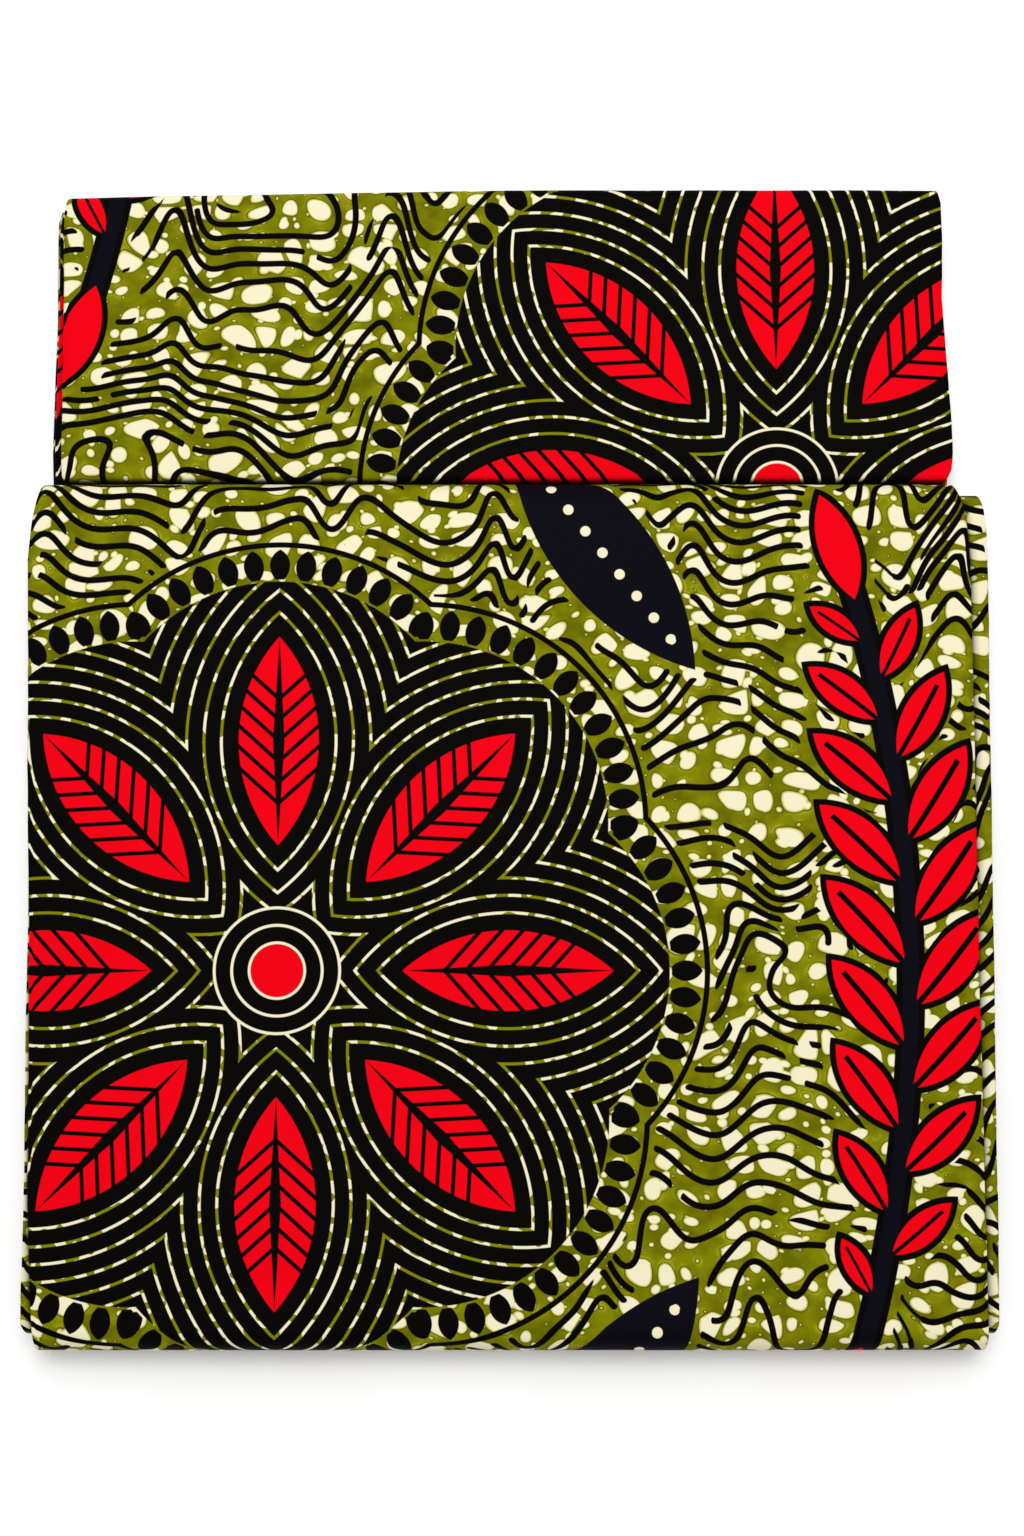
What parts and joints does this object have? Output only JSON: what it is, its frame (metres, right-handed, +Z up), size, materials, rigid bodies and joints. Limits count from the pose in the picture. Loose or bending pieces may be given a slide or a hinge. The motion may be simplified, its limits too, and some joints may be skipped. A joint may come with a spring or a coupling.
{
  "type": "folded length of wax print cloth",
  "caption": "Long length of printed cotton, folded in four along its length and laid flat in a pile with a lower step behind a thicker front part.",
  "frame": {"origin": "on the surface it lies on, in the middle of the folded cloth's outline", "axes": "+X across the folded strip, +Y from the thick front part to the low step, +Z up through the layers"},
  "size_m": [0.2958, 0.3604, 0.0286],
  "materials": {
    "printed_cotton": "crisp plain weave cotton, wax resist print in olive, cream, black and red, with a slight sheen from the mill's finish"
  },
  "bodies": {
    "root": {"base_layers": "printed_cotton", "step_strip": "printed_cotton", "back_layers": "printed_cotton", "back_wrap": "printed_cotton", "front_layers": "printed_cotton", "front_under_fold": "printed_cotton", "front_wrap": "printed_cotton"}
  },
  "joints": []
}
